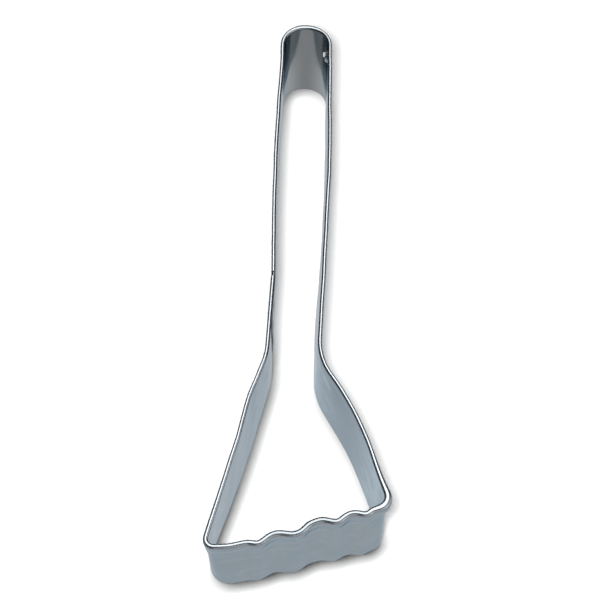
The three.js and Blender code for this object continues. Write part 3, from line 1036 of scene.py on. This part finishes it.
studio = {
    "floorSize": 3.0,
    "floorLines": 9,
    "floorColour": 0.80,
    "cameraGain": 0.9,
    "cameraGlow": 0.32,
    "glowReach": (0.14, 0.45),  # between these distances the floor grows quite white
    "mirrorGain": 0.12,
    "mirrorGlow": 0.60,
    "farGain": 0.05,
    "paleReach": (0.20, 0.25),  # half width and half length of the pale floor in the metal
    "paleFade": 1.6,
    "contactReach": 0.003,
    "contactSamples": 16,
    "contactSide": (-0.50, 0.66, 0.56),  # the soft light's side; the contact shade lies away from it
    "contactDepth": 1.50,
    "contactFall": 1.3,
    "handleDepth": 0.35,  # the contact shade is fainter along the handle
    "handleSpan": (-0.020, 0.002, 0.038, 0.078),
    "room": 0.04,
    # name, position, looks at, width, height, radiance, lights the floor, shows in the metal
    "lights": [
        ("keyLight", (-0.017, -0.148, 0.294), (0.0, 0.0, 0.0), 0.040, 0.040, 2350.0, True, False),
        ("overheadPanel", (-0.02, 0.48, 0.95), (-0.02, 0.48, 0.0), 0.78, 1.04, 2.4, False, True),
        ("rightCard", (0.62, -0.16, 0.29), (0.0, -0.03, 0.02), 0.62, 0.40, 1.3, True, True),
        ("frontCard", (0.38, -0.58, 0.40), (0.0, -0.03, 0.02), 1.00, 0.75, 0.75, False, True),
    ],
    "evenLights": ["keyLight"],  # these are as strong near as far
}


def grey(value):
    return [value] * 3 + [1.0]


# how pale the floor is in the metal: an oval round the object, fading out beyond its border
def paleShare(tree, place):
    halfWidth, halfLength = studio["paleReach"]
    shrunk = addNode(tree, "ShaderNodeVectorMath", {
        0: place, 1: (1 / halfWidth, 1 / halfLength, 0.0),
    }, operation="MULTIPLY")
    distance = addNode(tree, "ShaderNodeVectorMath", {0: shrunk.outputs[0]}, operation="LENGTH")
    return ranged(tree, distance.outputs["Value"], 1.0, studio["paleFade"], 1.0, 0.0)


# contact shade: one less the depth times a power of how much of the soft light's side the object hides
def contactShade(tree, place):
    side = addNode(tree, "ShaderNodeCombineXYZ", dict(zip("XYZ", studio["contactSide"])))
    contact = addNode(tree, "ShaderNodeAmbientOcclusion", {
        "Distance": studio["contactReach"], "Normal": side.outputs[0],
    }, samples=studio["contactSamples"])
    hidden = math(tree, "SUBTRACT", 1.0, contact.outputs["AO"])
    hidden = math(tree, "POWER", hidden, studio["contactFall"])
    length = addNode(tree, "ShaderNodeSeparateXYZ", {0: place}).outputs["Y"]
    before, start, finish, beyond = studio["handleSpan"]
    handle = ranged(tree, length, before, start)
    handle = times(tree, handle, ranged(tree, length, finish, beyond, 1.0, 0.0))
    depth = ranged(tree, handle, 0.0, 1.0, studio["contactDepth"], studio["handleDepth"])
    return math(tree, "SUBTRACT", 1.0, times(tree, hidden, depth), clamp=True)


def floorMaterial():
    material, tree, output = newMaterial("paleFloor")
    path = addNode(tree, "ShaderNodeLightPath").outputs
    place = addNode(tree, "ShaderNodeTexCoord").outputs["Object"]
    mirror = math(tree, "MAXIMUM", path["Is Glossy Ray"], path["Is Transmission Ray"])
    mirrorPale = times(tree, mirror, paleShare(tree, place))
    shade = contactShade(tree, place)
    white = studio["floorColour"]
    colour = mixed(tree, mirror, grey(white), grey(white * studio["farGain"]))
    colour = mixed(tree, mirrorPale, colour, grey(white * studio["mirrorGain"]))
    seen = mixed(tree, shade, grey(0.0), grey(white * studio["cameraGain"]))
    colour = mixed(tree, path["Is Camera Ray"], colour, seen)
    away = addNode(tree, "ShaderNodeVectorMath", {0: place}, operation="LENGTH").outputs["Value"]
    whiter = ranged(tree, away, *studio["glowReach"], studio["cameraGlow"], 1.0)
    seenGlow = times(tree, path["Is Camera Ray"], times(tree, shade, whiter))
    glow = plus(tree, seenGlow, times(tree, mirrorPale, studio["mirrorGlow"]))
    matt = addNode(tree, "ShaderNodeBsdfDiffuse", {"Color": colour})
    shine = addNode(tree, "ShaderNodeEmission", {"Color": grey(1.0), "Strength": glow})
    both = addNode(tree, "ShaderNodeAddShader", {0: matt.outputs[0], 1: shine.outputs[0]})
    tree.links.new(both.outputs[0], output.inputs["Surface"])
    return material


def floorPiece():
    size, count = studio["floorSize"], studio["floorLines"]
    line = np.linspace(-size, size, count)
    x, y = np.meshgrid(line, line)
    points = np.stack([x.ravel(), y.ravel(), 0 * x.ravel()], -1) / mm
    index = np.arange(count * count).reshape(count, count)
    faces = np.stack([index[:-1, :-1], index[:-1, 1:], index[1:, 1:], index[1:, :-1]], -1).reshape(-1, 4)
    floor = newPiece("floor", points, faces)
    floor.data.materials.append(floorMaterial())


def lampPiece(name, position, target, width, height, radiance, lightsFloor, showsInMetal):
    lamp = bpy.data.lights.new(name, "AREA")
    lamp.shape = "RECTANGLE"
    lamp.size, lamp.size_y = width, height
    lamp.energy = radiance * np.pi * width * height
    if name in studio["evenLights"]:
        lamp.use_nodes = True
        even = addNode(lamp.node_tree, "ShaderNodeLightFalloff", {"Strength": 1.0})
        shine = lamp.node_tree.nodes["Emission"]
        lamp.node_tree.links.new(even.outputs["Constant"], shine.inputs["Strength"])
    lampObject = bpy.data.objects.new(name, lamp)
    lampObject.location = position
    lampObject.visible_diffuse = lightsFloor
    lampObject.visible_glossy = showsInMetal
    direction = Vector(target) - Vector(position)
    lampObject.rotation_euler = direction.to_track_quat("-Z", "Y").to_euler()
    bpy.context.scene.collection.objects.link(lampObject)


floorPiece()
for row in studio["lights"]:
    lampPiece(*row)
world = bpy.data.worlds.new("studioRoom")
world.use_nodes = True
world.node_tree.nodes["Background"].inputs["Color"].default_value = grey(studio["room"])
bpy.context.scene.world = world
bpy.context.scene.view_settings.view_transform = "Standard"
print("studio: floor and", len(studio["lights"]), "lights")


# camera: the photograph's viewing angle; position in mm, angles in degrees

view = {
    "position": (-0.0461, -157.6383, 288.275),
    "pitch": 60.792,
    "heading": 0.3848,
    "roll": 1.707,
    "lens": 90.0,
    "sensor": 36.0,
    "clip": (0.01, 20.0),
}


def cameraPiece():
    pitch, heading, roll = np.radians([view["pitch"], view["heading"], view["roll"]])
    forward = np.array([
        -np.sin(heading) * np.cos(pitch), np.cos(heading) * np.cos(pitch), -np.sin(pitch),
    ])
    level = np.array([np.cos(heading), np.sin(heading), 0.0])
    steep = np.cross(level, forward)
    right = np.cos(roll) * level + np.sin(roll) * steep
    up = -np.sin(roll) * level + np.cos(roll) * steep
    lens = bpy.data.cameras.new("photoCamera")
    lens.sensor_width = view["sensor"]
    lens.lens = view["lens"]
    lens.clip_start, lens.clip_end = view["clip"]
    cameraObject = bpy.data.objects.new("photoCamera", lens)
    turn = Matrix([list(row) for row in np.stack([right, up, -forward], 1)])
    cameraObject.matrix_world = Matrix.Translation(Vector(view["position"]) * mm) @ turn.to_4x4()
    bpy.context.scene.collection.objects.link(cameraObject)
    return cameraObject


bpy.context.scene.camera = cameraPiece()
print("camera placed")
